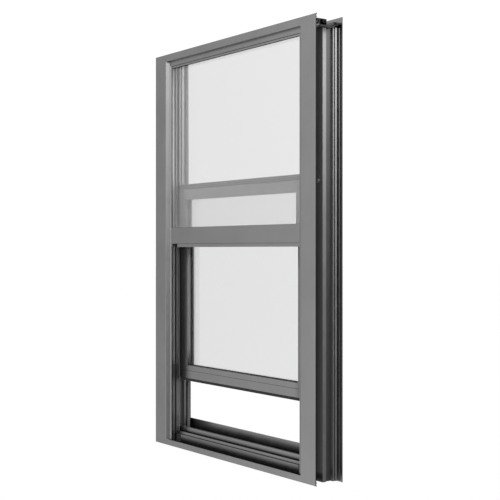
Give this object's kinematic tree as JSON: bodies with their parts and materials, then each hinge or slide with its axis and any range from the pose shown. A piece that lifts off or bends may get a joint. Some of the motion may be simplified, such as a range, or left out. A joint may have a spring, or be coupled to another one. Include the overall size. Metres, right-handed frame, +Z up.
{
  "type": "single-hung window",
  "caption": "Aluminium single-hung window: fixed double-glazed light above, sliding double-glazed sash raised a little over a stepped sill, flanged frame.",
  "frame": {"origin": "middle of the sill's underside, half way through the frame's depth", "axes": "+Z up along the height, +X to the right seen from outside, +Y from outside to inside"},
  "size_m": [0.8, 0.089, 1.2],
  "materials": {
    "frame_coating": "satin grey powder coat on extruded aluminium",
    "glass": "clear low-iron float glass",
    "spacer_bar": "mill aluminium spacer",
    "gasket": "black glazing rubber",
    "pile": "dark grey wool pile",
    "nylon": "black nylon",
    "steel": "zinc-plated steel"
  },
  "bodies": {
    "root": {"balance_rod_left": "steel", "balance_rod_right": "steel", "balance_screws": "steel", "balance_tube_left": "steel", "balance_tube_right": "steel", "frame_head": "frame_coating", "frame_jamb_left": "frame_coating", "frame_jamb_right": "frame_coating", "frame_screws": "steel", "frame_sill": "frame_coating", "glazing_bead_head": "frame_coating", "glazing_bead_left": "frame_coating", "glazing_bead_right": "frame_coating", "jamb_weatherstrips": "pile", "meeting_rail": "frame_coating", "meeting_weatherstrip": "pile", "sash_bead_bottom": "frame_coating", "sash_bead_left": "frame_coating", "sash_bead_right": "frame_coating", "sash_bead_top": "frame_coating", "sash_bottom_rail": "frame_coating", "sash_bottom_seal": "gasket", "sash_gasket_front": "gasket", "sash_gasket_rear": "gasket", "sash_glass_inner": "glass", "sash_glass_outer": "glass", "sash_glass_spacer": "spacer_bar", "sash_guides": "nylon", "sash_setting_blocks": "nylon", "sash_stile_left": "frame_coating", "sash_stile_right": "frame_coating", "sash_top_rail": "frame_coating", "screen_track_left": "frame_coating", "screen_track_right": "frame_coating", "upper_gasket_front": "gasket", "upper_gasket_rear": "gasket", "upper_glass_inner": "glass", "upper_glass_outer": "glass", "upper_glass_spacer": "spacer_bar", "upper_setting_blocks": "nylon"}
  },
  "joints": []
}
